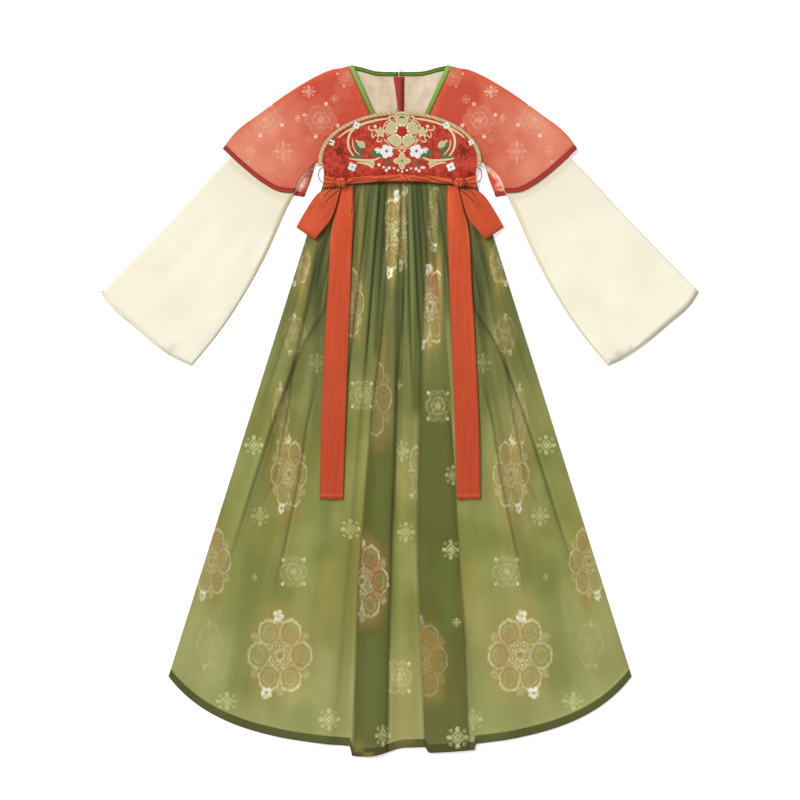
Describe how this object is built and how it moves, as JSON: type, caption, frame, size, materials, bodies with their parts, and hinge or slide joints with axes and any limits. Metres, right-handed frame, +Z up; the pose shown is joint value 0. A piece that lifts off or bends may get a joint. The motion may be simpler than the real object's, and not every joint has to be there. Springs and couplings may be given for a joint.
{
  "type": "girl's hanfu dress, laid flat",
  "caption": "Flat-laid girl's chest-high hanfu dress: layered sleeves, embroidered chest panel, tied sash and full gathered chiffon skirt.",
  "frame": {"origin": "on the floor plane, under the middle of the laid dress", "axes": "+Z up out of the front of the dress, +Y from hem to neck, +X to the wearer's left"},
  "size_m": [0.9568, 1.1067, 0.0204],
  "materials": {
    "green_chiffon": "sheer printed chiffon",
    "red_bodice": "satin, embroidered in front",
    "gold_piping": "gold cord edging",
    "coral_chiffon": "sheer printed chiffon",
    "red_binding": "plain bias tape",
    "olive_binding": "plain bias tape",
    "green_binding": "plain bias tape",
    "nude_lining": "soft matt lining",
    "red_placket": "folded satin strip",
    "cream_sleeve": "fine matt voile",
    "coral_ribbon": "soft satin ribbon",
    "dark_thread": "twisted sewing thread",
    "hook_wire": "bent wire"
  },
  "bodies": {
    "root": {"skirt_back": "green_chiffon", "skirt_front": "green_chiffon", "back_bodice": "red_bodice", "bodice_front": "red_bodice", "bodice_piping": "gold_piping", "cape_back_left": "coral_chiffon", "cape_back_right": "coral_chiffon", "cape_front_left": "coral_chiffon", "cape_front_right": "coral_chiffon", "cape_binding_back_left": "red_binding", "cape_binding_back_right": "red_binding", "cape_binding_front_left": "red_binding", "cape_binding_front_right": "red_binding", "neck_binding_back_left": "olive_binding", "neck_binding_back_right": "olive_binding", "neck_binding_front_left": "green_binding", "neck_binding_front_right": "green_binding", "back_lining_left": "nude_lining", "back_lining_right": "nude_lining", "back_placket": "red_placket", "sleeve_left": "cream_sleeve", "sleeve_right": "cream_sleeve", "sash_roll": "coral_ribbon", "sash_side_left": "coral_ribbon", "sash_side_right": "coral_ribbon", "knot_left": "coral_ribbon", "knot_right": "coral_ribbon", "bow_loop_left": "coral_ribbon", "bow_loop_right": "coral_ribbon", "streamer_left": "coral_ribbon", "streamer_right": "coral_ribbon", "side_loop_left": "dark_thread", "side_loop_right": "dark_thread", "neck_hook": "hook_wire"}
  },
  "joints": []
}
